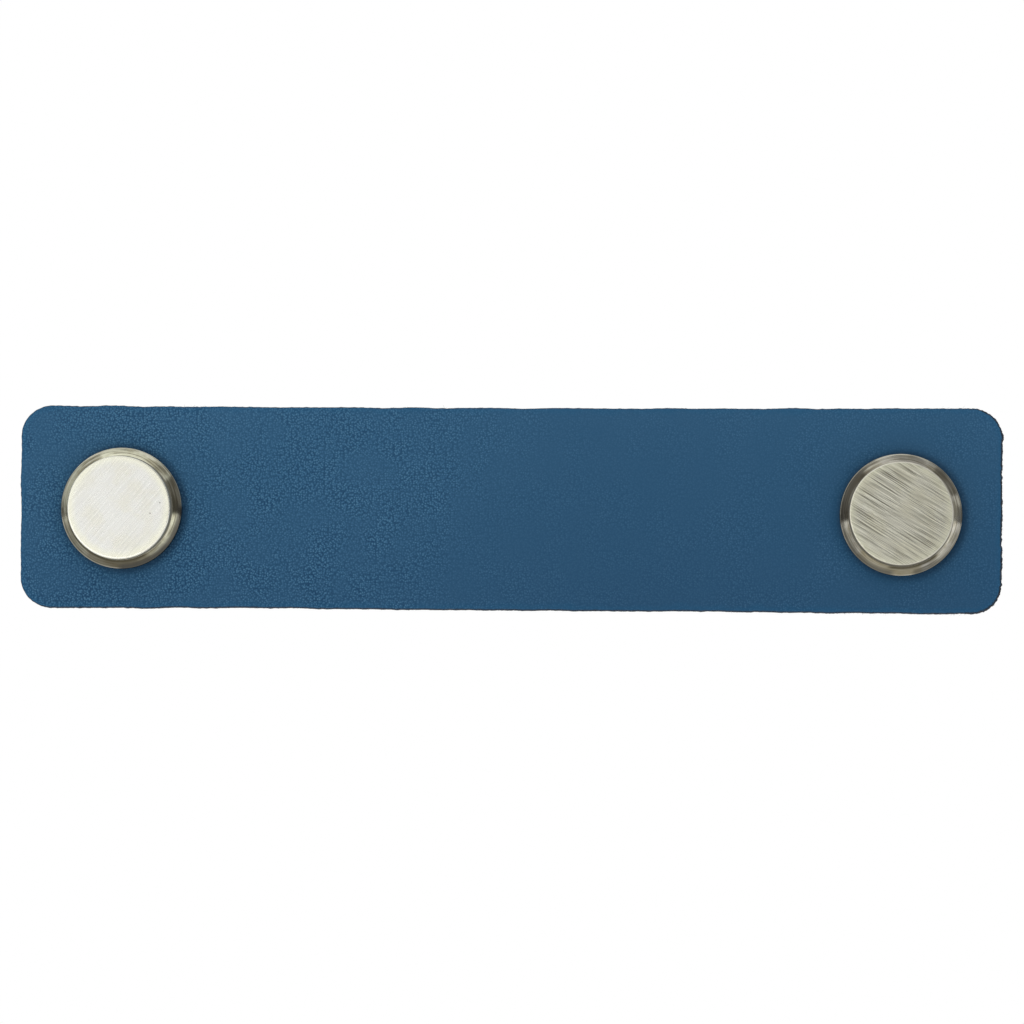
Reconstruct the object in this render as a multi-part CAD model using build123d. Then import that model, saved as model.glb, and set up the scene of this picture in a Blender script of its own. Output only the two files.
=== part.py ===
"""Leather drawer pull: one flat strap held at each end by a round brass head.

Each head has a boss that passes through a punched hole in the strap. A machine screw comes from
inside the drawer, through a washer and the drawer front, and into the boss.

X runs along the strap, Y from the room into the drawer, and Z up. The origin lies on the flat back
of the strap, midway between the two screws, so the drawer front fills the space from Y = 0 to
PANEL_THICKNESS. All sizes are in millimetres.
"""

import os

from build123d import *

# Where it fastens
HOLE_PITCH = 128.0
PANEL_THICKNESS = 18.0

# Leather strap. It was cut by hand, so its outline is not quite true to the two holes: the heights
# are from the line of the holes to the edge, at that end, and the reach is from a hole to the end.
STRAP_THICKNESS = 3.5
REACH_BEYOND_HOLE = {"left": 16.7, "right": 16.3}
HEIGHT_ABOVE = {"left": 16.8, "right": 17.5}
HEIGHT_BELOW = {"left": 16.2, "right": 15.8}
STRAP_CORNER_RADIUS = 5.0
STRAP_FRONT_ROUNDING = 0.35
STRAP_HOLE_RADIUS = 3.6
SEAT_RADIUS = 10.3
SEAT_DEPTH = 0.25

# Brass head, turned about Y. Its bore is drawn plain, just over the thread's pitch radius.
HEAD_RADIUS = 10.0
HEAD_HEIGHT = 4.6
FACE_RADIUS = 8.5
FACE_ROUNDING = 0.2
COLLAR_FLARE = 0.1
BEVEL_RISE = 0.95
RIM_HEIGHT = 1.25
RIM_ROUNDING = 0.2
BOSS_RADIUS = 3.52
BOSS_SHORT_OF_PANEL = 0.5
THREAD_BORE_RADIUS = 1.85
THREAD_BORE_FLOOR = 0.95

# Machine screw M4 x 25 with a pan head. Its thread is drawn plain too: at the pitch radius where
# it is in the head and the washer, and at the major radius where it crosses the drawer front.
SCREW_LENGTH = 25.0
SCREW_MAJOR_RADIUS = 2.0
SCREW_PITCH_RADIUS = 1.77
SCREW_TIP_CHAMFER = 0.5
SCREW_STEP_INSET = 0.3
SCREW_HEAD_RADIUS = 4.0
SCREW_HEAD_HEIGHT = 3.1
SCREW_CROWN_RADIUS = 6.5
RECESS_SPAN = 4.4
RECESS_WING = 0.95
RECESS_DEPTH = 1.9
RECESS_FLOOR_SCALE = 0.6
RECESS_TURN = {"left": 20.0, "right": -35.0}

# Large plain washer for M4
WASHER_RADIUS = 6.0
WASHER_BORE_RADIUS = 2.15
WASHER_THICKNESS = 1.0
WASHER_ROUNDING = 0.12

# Worked out from the sizes above
HEAD_X = {"left": -HOLE_PITCH / 2, "right": HOLE_PITCH / 2}
HEAD_SEAT = SEAT_DEPTH - STRAP_THICKNESS
HEAD_FACE = HEAD_SEAT - HEAD_HEIGHT
WASHER_BACK = PANEL_THICKNESS + WASHER_THICKNESS
SCREW_TIP = WASHER_BACK - SCREW_LENGTH
SCREW_TOP = WASHER_BACK + SCREW_HEAD_HEIGHT


def turned(*outline):
    """The solid that an outline of lines and arcs, in X (radius) and Y, sweeps about the Y axis."""
    edges = [edge for line in outline for edge in line.edges()]
    return revolve(make_face(edges), Axis.Y)


def disc_cut(x, y, radius, depth):
    """A cutting cylinder along Y that reaches `depth` to each side of the point (x, y)."""
    return Pos(x, y, 0) * Rot(90, 0, 0) * Cylinder(radius, 2 * depth)


def leather_strap():
    """The strap, with a punched hole for each boss and a shallow seat pressed by each head."""
    left_end = HEAD_X["left"] - REACH_BEYOND_HOLE["left"]
    right_end = HEAD_X["right"] + REACH_BEYOND_HOLE["right"]
    corners = [
        (left_end, -HEIGHT_BELOW["left"]),
        (right_end, -HEIGHT_BELOW["right"]),
        (right_end, HEIGHT_ABOVE["right"]),
        (left_end, HEIGHT_ABOVE["left"]),
    ]
    outline = make_face(Polyline(*corners, close=True))
    outline = fillet(outline.vertices(), STRAP_CORNER_RADIUS)
    strap = extrude(Plane.XZ * outline, STRAP_THICKNESS)
    strap = fillet(strap.faces().sort_by(Axis.Y)[0].edges(), STRAP_FRONT_ROUNDING)
    for x in HEAD_X.values():
        strap -= disc_cut(x, -STRAP_THICKNESS / 2, STRAP_HOLE_RADIUS, STRAP_THICKNESS)
        strap -= disc_cut(x, -STRAP_THICKNESS, SEAT_RADIUS, SEAT_DEPTH)
    return strap


def brass_head():
    """A flat face on a steep collar, a bevel down to the rim, and the threaded boss behind."""
    rim_front = HEAD_SEAT - RIM_HEIGHT
    bore_floor = HEAD_FACE + THREAD_BORE_FLOOR
    face_edge = (FACE_RADIUS - FACE_ROUNDING, HEAD_FACE)
    collar_top = (FACE_RADIUS, HEAD_FACE + FACE_ROUNDING)
    bevel_top = (FACE_RADIUS + COLLAR_FLARE, rim_front - BEVEL_RISE)
    bevel_foot = (HEAD_RADIUS - RIM_ROUNDING, rim_front)
    rim_edge = (HEAD_RADIUS, rim_front + RIM_ROUNDING)
    return turned(
        Line((0, HEAD_FACE), face_edge),
        RadiusArc(face_edge, collar_top, -FACE_ROUNDING),
        Polyline(collar_top, bevel_top, bevel_foot),
        RadiusArc(bevel_foot, rim_edge, -RIM_ROUNDING),
        Polyline(
            rim_edge,
            (HEAD_RADIUS, HEAD_SEAT),
            (BOSS_RADIUS, HEAD_SEAT),
            (BOSS_RADIUS, -BOSS_SHORT_OF_PANEL),
            (THREAD_BORE_RADIUS, -BOSS_SHORT_OF_PANEL),
            (THREAD_BORE_RADIUS, bore_floor),
            (0, bore_floor),
            (0, HEAD_FACE),
        ),
    )


def washer():
    """A flat ring behind the drawer front, with its outer and inner arrises broken."""
    middle = PANEL_THICKNESS + WASHER_THICKNESS / 2
    ring = disc_cut(0, middle, WASHER_RADIUS, WASHER_THICKNESS / 2)
    ring -= disc_cut(0, middle, WASHER_BORE_RADIUS, WASHER_THICKNESS)
    return chamfer(ring.edges().filter_by(GeomType.CIRCLE), WASHER_ROUNDING)


def cross_recess(turn):
    """Two crossed wings that narrow towards the bottom, with their mouth at the screw's top."""
    mouth = Plane.XZ.offset(-SCREW_TOP)
    floor = Plane.XZ.offset(RECESS_DEPTH - SCREW_TOP)
    wing = Rectangle(RECESS_SPAN, RECESS_WING)
    recess = Part()
    for angle in (turn, turn + 90):
        upright = Rot(0, 0, angle) * wing
        recess += loft([mouth * upright, floor * scale(upright, RECESS_FLOOR_SCALE)])
    return recess


def machine_screw(turn):
    """The screw along Y, with its tip in the head's boss and its pan head on the washer."""
    crown_drop = SCREW_CROWN_RADIUS - (SCREW_CROWN_RADIUS**2 - SCREW_HEAD_RADIUS**2) ** 0.5
    head_edge = (SCREW_HEAD_RADIUS, SCREW_TOP - crown_drop)
    body = turned(
        Polyline(
            (0, SCREW_TOP),
            (0, SCREW_TIP),
            (SCREW_PITCH_RADIUS - SCREW_TIP_CHAMFER, SCREW_TIP),
            (SCREW_PITCH_RADIUS, SCREW_TIP + SCREW_TIP_CHAMFER),
            (SCREW_PITCH_RADIUS, SCREW_STEP_INSET),
            (SCREW_MAJOR_RADIUS, SCREW_STEP_INSET),
            (SCREW_MAJOR_RADIUS, PANEL_THICKNESS - SCREW_STEP_INSET),
            (SCREW_PITCH_RADIUS, PANEL_THICKNESS - SCREW_STEP_INSET),
            (SCREW_PITCH_RADIUS, WASHER_BACK),
            (SCREW_HEAD_RADIUS, WASHER_BACK),
            head_edge,
        ),
        RadiusArc(head_edge, (0, SCREW_TOP), -SCREW_CROWN_RADIUS),
    )
    return body - cross_recess(turn)


os.makedirs("parts", exist_ok=True)
export_step(leather_strap(), "parts/leather_strap.step")
for side, x in HEAD_X.items():
    place = Pos(x, 0, 0)
    export_step(place * brass_head(), f"parts/{side}_head.step")
    export_step(place * washer(), f"parts/{side}_washer.step")
    export_step(place * machine_screw(RECESS_TURN[side]), f"parts/{side}_screw.step")
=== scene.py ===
"""Looks of the leather drawer pull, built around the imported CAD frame.

The leather strap, the brass heads, the screws and the washers are made as fine meshes in place of
the plain CAD solids: the strap has its cut edge and loose fibres, and the screws and the heads'
bores have real M4 threads. X runs along the strap, the room is at -Y and Z is up, in metres.
"""

import math

import bmesh
import bpy
import numpy as np
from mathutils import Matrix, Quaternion, Vector


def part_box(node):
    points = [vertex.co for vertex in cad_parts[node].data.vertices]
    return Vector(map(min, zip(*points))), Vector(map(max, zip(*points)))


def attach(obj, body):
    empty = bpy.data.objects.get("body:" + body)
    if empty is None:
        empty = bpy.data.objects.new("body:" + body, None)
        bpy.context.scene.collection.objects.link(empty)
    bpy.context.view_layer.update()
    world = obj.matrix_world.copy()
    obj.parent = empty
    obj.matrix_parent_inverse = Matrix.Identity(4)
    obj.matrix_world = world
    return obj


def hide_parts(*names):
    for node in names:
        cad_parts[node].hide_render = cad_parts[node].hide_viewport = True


MM = 0.001
TURN = 2 * math.pi

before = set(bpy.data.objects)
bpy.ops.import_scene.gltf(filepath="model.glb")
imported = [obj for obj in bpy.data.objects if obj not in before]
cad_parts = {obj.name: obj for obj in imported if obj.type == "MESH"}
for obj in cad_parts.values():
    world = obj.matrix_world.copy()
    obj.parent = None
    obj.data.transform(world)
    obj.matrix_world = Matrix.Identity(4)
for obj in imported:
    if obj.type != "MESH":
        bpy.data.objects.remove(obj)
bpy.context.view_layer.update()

SIDES = ("left", "right")


def middle_x(node):
    """Where a node that is round about a line along Y stands along the strap."""
    low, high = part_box(node)
    return (low.x + high.x) / 2


HEAD_X = {side: middle_x(f"{side}_head") for side in SIDES}
STRAP_LOW, STRAP_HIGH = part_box("leather_strap")
HEAD_LOW, HEAD_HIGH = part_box("left_head")
SCREW_LOW, SCREW_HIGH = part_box("left_screw")
WASHER_LOW, WASHER_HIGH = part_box("left_washer")

# Strap
HEIGHT_ABOVE = {"left": 16.8 * MM, "right": 17.5 * MM}
HEIGHT_BELOW = {"left": 16.2 * MM, "right": 15.8 * MM}
CORNER_RADIUS = 5.0 * MM
HOLE_RADIUS = 3.6 * MM
FRONT_ARRIS = 0.38 * MM
BACK_ARRIS = 0.28 * MM
SEAT_DEPTH = 0.26 * MM
SEAT_RADIUS = 10.15 * MM
DISH_WIDTH = 1.5 * MM

# Heads, screws and washers
HEAD_RADIUS = (HEAD_HIGH.x - HEAD_LOW.x) / 2
HEAD_SEAT = -3.25 * MM
FACE_RADIUS = 8.5 * MM
FACE_ROUNDING = 0.2 * MM
COLLAR_FLARE = 0.1 * MM
RIM_HEIGHT = 1.25 * MM
RIM_ROUNDING = 0.2 * MM
BEVEL_RISE = 0.95 * MM
BORE_FLOOR = 0.95 * MM
COLLAR_FOOT = HEAD_SEAT - RIM_HEIGHT - BEVEL_RISE
BOSS_RADIUS = 3.52 * MM
THREAD_PITCH = 0.7 * MM
SCREW_MAJOR = 2.0 * MM
SCREW_ROOT = 1.57 * MM
BORE_MAJOR = 2.05 * MM
BORE_MINOR = 1.67 * MM
WASHER_RADIUS = (WASHER_HIGH.x - WASHER_LOW.x) / 2
WASHER_BORE = 2.15 * MM
SCREW_HEAD_RADIUS = 4.0 * MM
CROWN_RADIUS = 6.5 * MM
RECESS_DEPTH = 1.9 * MM
RECESS_TURN = {"left": 20.0, "right": -35.0}


# ---- meshes


def smoothstep(value):
    """0 below 0, 1 above 1, and a smooth rise between them."""
    value = np.clip(value, 0.0, 1.0)
    return value * value * (3 - 2 * value)


def ripple(x, z, wavelength, seed):
    """A random surface over X and Z, of size 1 or so, with waves of so many millimetres."""
    random = np.random.RandomState(seed)
    waves = 12
    total = np.zeros_like(x)
    for direction, stretch, phase in random.uniform(0, 1, (waves, 3)):
        angle = direction * TURN
        step = TURN / (wavelength * MM * (0.6 + stretch))
        total += np.sin(step * (x * math.cos(angle) + z * math.sin(angle)) + phase * TURN)
    return total / math.sqrt(waves / 2)


def smooth_out(mesh, sharp_angle):
    """Turns a mesh's faces outwards, and smooths it but for edges sharper than `sharp_angle`."""
    shape = bmesh.new()
    shape.from_mesh(mesh)
    bmesh.ops.recalc_face_normals(shape, faces=shape.faces)
    for edge in shape.edges:
        edge.smooth = edge.calc_face_angle(0.0) < math.radians(sharp_angle)
    for face in shape.faces:
        face.smooth = True
    shape.to_mesh(mesh)
    shape.free()


def finished_mesh(name, points, faces, sharp_angle=40.0):
    """A smooth mesh object of these points and faces."""
    mesh = bpy.data.meshes.new(name)
    mesh.from_pydata([tuple(point) for point in points], [], faces)
    smooth_out(mesh, sharp_angle)
    piece = bpy.data.objects.new(name, mesh)
    bpy.context.scene.collection.objects.link(piece)
    return piece


def store(piece, name, values):
    """Stores one number for each point of a piece, for its material to read."""
    attribute = piece.data.attributes.new(name, "FLOAT", "POINT")
    attribute.data.foreach_set("value", np.asarray(values, np.float32))


class Turned:
    """A closed shape of rings about a line along Y, added from one end to the other."""

    def __init__(self, x, columns):
        self.x = x
        self.columns = columns
        self.points = []
        self.faces = []
        self.last = None

    def place(self, radius, y, angle):
        """A new point. The angle turns by the right-hand rule about +Y."""
        self.points.append((self.x + radius * math.cos(angle), y, -radius * math.sin(angle)))
        return len(self.points) - 1

    def circle(self, radius, y):
        """The points of a new flat ring."""
        return [self.place(radius, y, TURN * k / self.columns) for k in range(self.columns)]

    def tip(self, y):
        """A point on the axis, which starts the shape or closes it."""
        self.join([self.place(0, y, 0)] * self.columns)

    def ring(self, radius, y):
        """A flat ring."""
        self.join(self.circle(radius, y))

    def rings(self, profile, unit=1.0):
        """A flat ring at each radius and Y of a profile, which may be in another unit."""
        for radius, y in profile:
            self.ring(radius * unit, y * unit)

    def join(self, ring):
        """Faces from the last ring to a new one."""
        if self.last is not None:
            for k in range(self.columns):
                after = (k + 1) % self.columns
                self.face(self.last[k], self.last[after], ring[after], ring[k])
        self.last = ring

    def face(self, *corners):
        """A face, without the corners that it has twice."""
        corners = tuple(dict.fromkeys(corners))
        if len(corners) > 2:
            self.faces.append(corners)

    def close(self):
        """Faces from the last ring back to the first, for a shape with a hole through it."""
        self.join(list(range(self.columns)))

    def thread(self, y_to, rest, peak, shares, phase):
        """A right-hand thread along +Y, from the last ring to a new one at y_to.

        `shares` lists, for one pitch, how far along Y a row lies and how much of the ridge it has.
        The ridge rises from radius `rest` to `peak` over most of a turn, and ends the same way.
        """
        y_from = self.points[self.last[0]][1]
        start = (math.ceil(y_from / THREAD_PITCH - phase + 0.05) + phase) * THREAD_PITCH
        turns = int((y_to - start) / THREAD_PITCH - 0.05) - 1
        steps = turns * self.columns
        run_out = 0.7 * self.columns
        grid = []
        for k in range(steps + 1):
            rise = min(1.0, k / run_out, (steps - k) / run_out)
            for share, ridge in shares:
                y = start + THREAD_PITCH * (k / self.columns + share)
                radius = rest + (peak - rest) * ridge * rise
                grid.append(self.place(radius, y, TURN * k / self.columns))
        top = [grid[steps * len(shares)]]
        for k in range(steps - self.columns + 1, steps + 1):
            y = start + THREAD_PITCH * (k / self.columns + 1)
            top.append(self.place(rest, y, TURN * k / self.columns))

        def row(k, i):
            if i < len(shares):
                return grid[k * len(shares) + i]
            if k + self.columns <= steps:
                return grid[(k + self.columns) * len(shares)]
            return top[k + self.columns - steps]

        for k in range(steps):
            for i in range(len(shares)):
                self.face(row(k, i), row(k + 1, i), row(k + 1, i + 1), row(k, i + 1))
        low = self.last
        high = self.circle(rest, y_to)
        for k in range(self.columns - 1):
            self.face(low[k], low[k + 1], row(k + 1, 0), row(k, 0))
            self.face(top[k + 1], top[k + 2], high[(k + 2) % self.columns], high[k + 1])
        seam = [row(0, i) for i in range(len(shares) + 1)]
        self.fan(low[-1], [low[0], *seam, row(self.columns - 1, 0)])
        seam = [row(steps, i) for i in range(len(shares) + 1)]
        self.fan(high[1], [top[1], *seam, high[0]])
        self.last = high

    def fan(self, centre, edge):
        """Triangles from one point to each stretch of an edge."""
        for first, second in zip(edge, edge[1:]):
            self.face(centre, first, second)


def arc_through(start, middle, end, count):
    """Points along the arc through three points of a profile, both ends left out."""
    (ax, ay), (bx, by), (cx, cy) = start, middle, end
    double = 2 * (ax * (by - cy) + bx * (cy - ay) + cx * (ay - by))
    a, b, c = ax * ax + ay * ay, bx * bx + by * by, cx * cx + cy * cy
    x = (a * (by - cy) + b * (cy - ay) + c * (ay - by)) / double
    y = (a * (cx - bx) + b * (ax - cx) + c * (bx - ax)) / double
    radius = math.hypot(ax - x, ay - y)
    first = math.atan2(ay - y, ax - x)
    sweep = math.remainder(math.atan2(cy - y, cx - x) - first, TURN)
    angles = [first + sweep * k / count for k in range(1, count)]
    return [(x + radius * math.cos(angle), y + radius * math.sin(angle)) for angle in angles]


# ---- materials


class Nodes:
    """A node tree under construction."""

    def __init__(self, tree):
        self.tree = tree

    def added(self, kind, inputs, **settings):
        """A new node, with its settings and what its sockets are given."""
        made = self.tree.nodes.new(kind)
        for name, value in settings.items():
            setattr(made, name, value)
        for name, value in inputs.items():
            self.give(made.inputs[name], value)
        return made

    def node(self, kind, inputs, output=0, **settings):
        """One output of a new node."""
        return self.added(kind, inputs, **settings).outputs[output]

    def give(self, socket, value):
        """Links a socket to an output, or sets its value. A colour is red, green and blue."""
        if isinstance(value, bpy.types.NodeSocket):
            self.tree.links.new(value, socket)
        elif socket.type == "RGBA":
            socket.default_value = (*value, 1)
        else:
            socket.default_value = value

    def math(self, operation, first, second=0.0):
        """One step of arithmetic."""
        return self.node("ShaderNodeMath", {0: first, 1: second}, operation=operation)

    def plus(self, first, second):
        return self.math("ADD", first, second)

    def minus(self, first, second):
        return self.math("SUBTRACT", first, second)

    def times(self, first, second):
        return self.math("MULTIPLY", first, second)

    def blend(self, factor, first, second):
        """A mix of two numbers, or of two colours."""
        numbers = isinstance(first, (int, float)) or getattr(first, "type", "") == "VALUE"
        if numbers:
            return self.node("ShaderNodeMix", {0: factor, 2: first, 3: second}, data_type="FLOAT")
        inputs = {0: factor, 6: first, 7: second}
        return self.node("ShaderNodeMix", inputs, output=2, data_type="RGBA")

    def window(self, value, low, high, at_low=0, at_high=1):
        """A smooth change from one number to another as the value goes from low to high."""
        inputs = {0: value, 1: low, 2: high, 3: at_low, 4: at_high}
        return self.node("ShaderNodeMapRange", inputs, interpolation_type="SMOOTHSTEP")

    def vector(self, operation, first, second=(0, 0, 0), output=0):
        """One step of vector arithmetic."""
        inputs = {0: first, 1: second}
        return self.node("ShaderNodeVectorMath", inputs, output, operation=operation)

    def length(self, place):
        """The distance of a place from its origin."""
        return self.vector("LENGTH", place, output="Value")

    def distance(self, first, second):
        """The distance between two places."""
        return self.vector("DISTANCE", first, second, "Value")

    def along(self, place, axis):
        """One coordinate of a place: X, Y or Z."""
        return self.node("ShaderNodeSeparateXYZ", {0: place}, axis)

    def combined(self, x, y, z=0.0):
        """A place from its three coordinates."""
        return self.node("ShaderNodeCombineXYZ", {0: x, 1: y, 2: z})

    def off_axis(self, place):
        """The place without its Y, which leads out from an axis along Y."""
        return self.vector("MULTIPLY", place, (1, 0, 1))

    def where(self, centre=(0, 0, 0)):
        """The place on the piece in metres, from a centre."""
        return self.vector("SUBTRACT", self.node("ShaderNodeTexCoord", {}, "Object"), centre)

    def stretched(self, place, scales, turn=0.0):
        """The place turned about Y by an angle and scaled along each axis."""
        inputs = {"Vector": place, "Axis": (0, 1, 0), "Angle": turn}
        turned = self.node("ShaderNodeVectorRotate", inputs, rotation_type="AXIS_ANGLE")
        return self.vector("MULTIPLY", turned, scales)

    def noise(self, place, scale, detail=2, roughness=0.5, output=0):
        """Smooth noise, from about 0.25 to 0.75."""
        inputs = {"Vector": place, "Scale": scale, "Detail": detail, "Roughness": roughness}
        return self.node("ShaderNodeTexNoise", inputs, output)

    def cloud(self, place, scale, low, high, at_low=0, at_high=1, detail=2, roughness=0.5):
        """Noise that changes from one number to another between a low and a high."""
        return self.window(self.noise(place, scale, detail, roughness), low, high, at_low, at_high)

    def attribute(self, name):
        """A number that is stored on the mesh."""
        return self.node("ShaderNodeAttribute", {}, output="Fac", attribute_name=name)

    def bump(self, height, distance):
        """A normal bumped by a height that is in parts of the distance."""
        inputs = {"Height": height, "Distance": distance, "Strength": 1.0}
        return self.node("ShaderNodeBump", inputs)


class Material(Nodes):
    """A node material under construction."""

    def __init__(self, name, **shader):
        self.made = bpy.data.materials.new(name)
        self.made.use_nodes = True
        super().__init__(self.made.node_tree)
        self.shader = self.tree.nodes["Principled BSDF"]
        for socket, value in shader.items():
            self.set(socket.replace("_", " "), value)

    def set(self, socket, value):
        """Gives a socket of the shader a value or an output."""
        self.give(self.shader.inputs[socket], value)


# ---- strap

HOLE_EDGES = {"left": HEAD_X["left"] + HOLE_RADIUS, "right": HEAD_X["right"] - HOLE_RADIUS}
ALONG_COLUMNS = 400
END_COLUMNS = 300
CORNER_POINTS = 40

# How the strap was cut: where its rough right end begins, and over how much of X. The rest is in
# millimetres: how deep that end is nibbled, how far from the middle the long sides bow, and two
# hollows along the bottom, each a place in X, a width and a depth.
ROUGH_FROM = 73 * MM
ROUGH_OVER = 6 * MM
NIBBLE = 0.025
BOW_REACH = 74
BOTTOM_HOLLOWS = ((-42, 13, 0.14), (32, 6, 0.10))


def strap_outline():
    """The strap's edge in X and Z, from the top over the right hole round by the left end."""
    left, right = STRAP_LOW.x, STRAP_HIGH.x
    corners = [
        (left, HEIGHT_ABOVE["left"]),
        (left, -HEIGHT_BELOW["left"]),
        (right, -HEIGHT_BELOW["right"]),
        (right, HEIGHT_ABOVE["right"]),
    ]
    x = HOLE_EDGES["right"]
    start = (x, np.interp(x, (left, right), (HEIGHT_ABOVE["left"], HEIGHT_ABOVE["right"])))
    points = [np.array(start)]
    for k in range(4):
        before, corner, after = (np.array(corners[(k + step) % 4]) for step in (-1, 0, 1))
        inward = (before - corner) / np.linalg.norm(before - corner)
        onward = (after - corner) / np.linalg.norm(after - corner)
        half = math.acos(np.dot(inward, onward)) / 2
        bisector = (inward + onward) / np.linalg.norm(inward + onward)
        centre = corner + bisector * CORNER_RADIUS / math.sin(half)
        reach = CORNER_RADIUS / math.tan(half)
        first, last = (corner + way * reach - centre for way in (inward, onward))
        angle = math.atan2(first[1], first[0])
        sweep = math.remainder(math.atan2(last[1], last[0]) - angle, TURN)
        for a in np.linspace(angle, angle + sweep, CORNER_POINTS):
            points.append(centre + CORNER_RADIUS * np.array((math.cos(a), math.sin(a))))
    return np.array([*points, points[0]])


OUTLINE = strap_outline()
OUTLINE_STEPS = np.linalg.norm(np.diff(OUTLINE, axis=0), axis=1)
OUTLINE_REACH = np.concatenate(([0], np.cumsum(OUTLINE_STEPS)))
OUTLINE_LENGTH = OUTLINE_REACH[-1]


def outline_at(along):
    """X and Z on the outline, at a distance along it."""
    along = along % OUTLINE_LENGTH
    return np.stack([np.interp(along, OUTLINE_REACH, OUTLINE[:, i]) for i in (0, 1)], -1)


def outward_at(along):
    """The direction out of the strap in X and Z, at a distance along its outline."""
    ahead = outline_at(along + 0.15 * MM) - outline_at(along - 0.15 * MM)
    ahead /= np.linalg.norm(ahead, axis=-1, keepdims=True)
    return np.stack([ahead[..., 1], -ahead[..., 0]], -1)


def mesh_columns():
    """Distances along the outline of the mesh's columns, from the top over the right hole."""

    def reach(k, x):
        """Where the straight after an outline point passes an X."""
        share = (x - OUTLINE[k, 0]) / (OUTLINE[k + 1, 0] - OUTLINE[k, 0])
        return OUTLINE_REACH[k] + share * (OUTLINE_REACH[k + 1] - OUTLINE_REACH[k])

    foot = 2 * CORNER_POINTS
    stops = [
        0.0,
        reach(0, HOLE_EDGES["left"]),
        reach(foot, HOLE_EDGES["left"]),
        reach(foot, HOLE_EDGES["right"]),
        OUTLINE_LENGTH,
    ]
    counts = (ALONG_COLUMNS, END_COLUMNS, ALONG_COLUMNS, END_COLUMNS)
    parts = [np.linspace(*ends, n, endpoint=False) for *ends, n in zip(stops, stops[1:], counts)]
    return np.concatenate(parts)


def wander(along, wavelength, seed):
    """A random line round the outline, of size 1 or so, with waves of so many millimetres."""
    random = np.random.RandomState(seed)
    waves = 14
    stretches = random.uniform(0.55, 1.7, waves)
    counts = np.maximum(1, np.round(OUTLINE_LENGTH / (wavelength * MM) * stretches))
    phases = random.uniform(0, TURN, waves)
    angles = np.multiply.outer(along / OUTLINE_LENGTH * TURN, counts) + phases
    return np.sin(angles).sum(-1) / math.sqrt(waves / 2)


def right_end(x):
    """0 over most of the strap and 1 at its roughly cut right end."""
    return smoothstep((x - ROUGH_FROM) / ROUGH_OVER)


def cut_line(along, place, outward):
    """How far the real cut stands out from the true outline."""
    x, z = place.T / MM
    out_x, out_z = outward.T
    flare = 2 * np.clip(abs(x) / BOW_REACH, 0, 1) ** 2 - 1
    bow = np.where(out_z > 0, 0.09 * flare, 0.13 + 0.04 * flare) * abs(out_z)
    bow += 0.13 * np.clip(out_x, 0, 1)
    bow += 0.18 * np.clip(-out_x, 0, 1) * smoothstep(z / 6 + 0.5)
    for middle, width, depth in BOTTOM_HOLLOWS:
        hollow = np.exp(-(((x - middle) / width) ** 2))
        bow -= depth * hollow * np.clip(-out_z, 0, 1)
    slow = 0.035 * wander(along, 11, 3) + 0.012 * wander(along, 2.2, 4)
    nibbles = wander(along, 2.4, 5) + 0.8 * wander(along, 0.9, 6)
    patchy = 0.5 + 0.5 * wander(along, 7, 7)
    return MM * (bow + slow + NIBBLE * right_end(place[:, 0]) * nibbles * patchy)


def from_heads(x, z):
    """Distance from the nearer head's axis."""
    return np.minimum(*(np.hypot(x - HEAD_X[side], z) for side in SIDES))


def front_surface(x, z):
    """The grain side: slow waves, and a dish under each head with a swelling round it."""
    radius = from_heads(x, z)
    dish = 1 - smoothstep((radius - SEAT_RADIUS) / DISH_WIDTH)
    swelling = 0.06 * MM * np.exp(-(((radius - 13.2 * MM) / (1.6 * MM)) ** 2))
    waves = 0.030 * ripple(x, z, 26, 11) + 0.010 * ripple(x, z, 7, 12)
    return STRAP_LOW.y + SEAT_DEPTH * dish - (MM * waves + swelling) * (1 - dish)


def back_surface(x, z):
    """The flesh side, which lies flat but for its nap."""
    return -0.012 * MM * (1 + 0.4 * ripple(x, z, 3, 13) + 0.4 * ripple(x, z, 1.1, 14))


def middle_path():
    """Where the loops end: the holes' edges and, there and back, the line between them."""
    angles = np.linspace(0, TURN, END_COLUMNS, endpoint=False)
    circle = HOLE_RADIUS * np.stack([np.cos(angles), np.sin(angles)], -1)
    left_circle = (HEAD_X["left"], 0) + circle
    right_circle = (HEAD_X["right"], 0) - circle
    slit = np.linspace(HOLE_EDGES["right"], HOLE_EDGES["left"], ALONG_COLUMNS, endpoint=False)
    slit = np.stack([slit, np.zeros_like(slit)], -1)
    turn = [[HOLE_EDGES["left"], 0]]
    return np.concatenate([slit, left_circle, turn, slit[:0:-1], right_circle])


def strap_faces(count, total):
    """Faces between the strap's `count` loops of `total` points, and the walls of its two holes.

    The first and the last loop pass between the holes twice, where both ways share their points.
    """
    numbers = np.arange(total)
    way_back = ALONG_COLUMNS + END_COLUMNS
    shared = numbers.copy()
    shared[way_back + 1:way_back + ALONG_COLUMNS] = numbers[ALONG_COLUMNS - 1:0:-1]
    shared[way_back] = ALONG_COLUMNS
    shared[way_back + ALONG_COLUMNS] = 0
    ids = [numbers + total * k for k in range(count)]
    ids[0] = shared
    ids[-1] = shared + total * (count - 1)
    faces = []
    for first, second in zip(ids, ids[1:]):
        for k in range(total):
            after = (k + 1) % total
            faces.append((first[k], first[after], second[after], second[k]))
    for start, end in ((ALONG_COLUMNS, way_back), (way_back + ALONG_COLUMNS, total)):
        for k in range(start, end):
            after = (k + 1) % total
            faces.append((ids[0][k], ids[-1][k], ids[-1][after], ids[0][after]))
    return faces


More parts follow.
